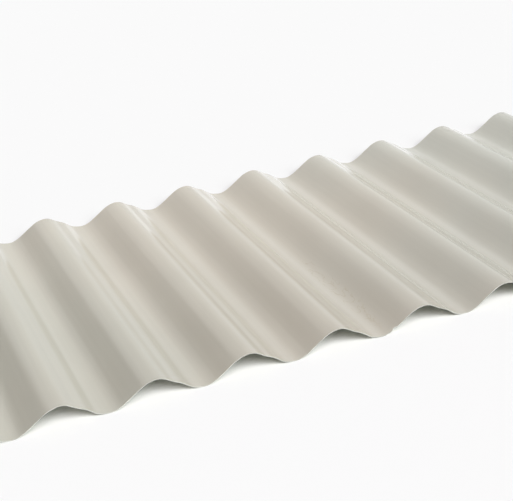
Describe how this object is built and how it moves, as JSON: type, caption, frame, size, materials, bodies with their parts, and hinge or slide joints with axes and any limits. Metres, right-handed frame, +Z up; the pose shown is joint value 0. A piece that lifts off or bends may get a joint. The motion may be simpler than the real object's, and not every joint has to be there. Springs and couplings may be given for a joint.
{
  "type": "corrugated metal sheet",
  "caption": "Short cut of roll-formed corrugated steel cladding in a pale warm-grey gloss coating, round waves side by side, both side edges turned down.",
  "frame": {"origin": "on the ground plane under the middle of the sheet, at the foot of its valleys", "axes": "+X across the corrugations, +Y along them, +Z up, out of the weather face"},
  "size_m": [0.8382, 0.4, 0.0175],
  "materials": {
    "coated_steel": "gloss"
  },
  "bodies": {
    "root": {"corrugated_sheet": "coated_steel"}
  },
  "joints": []
}
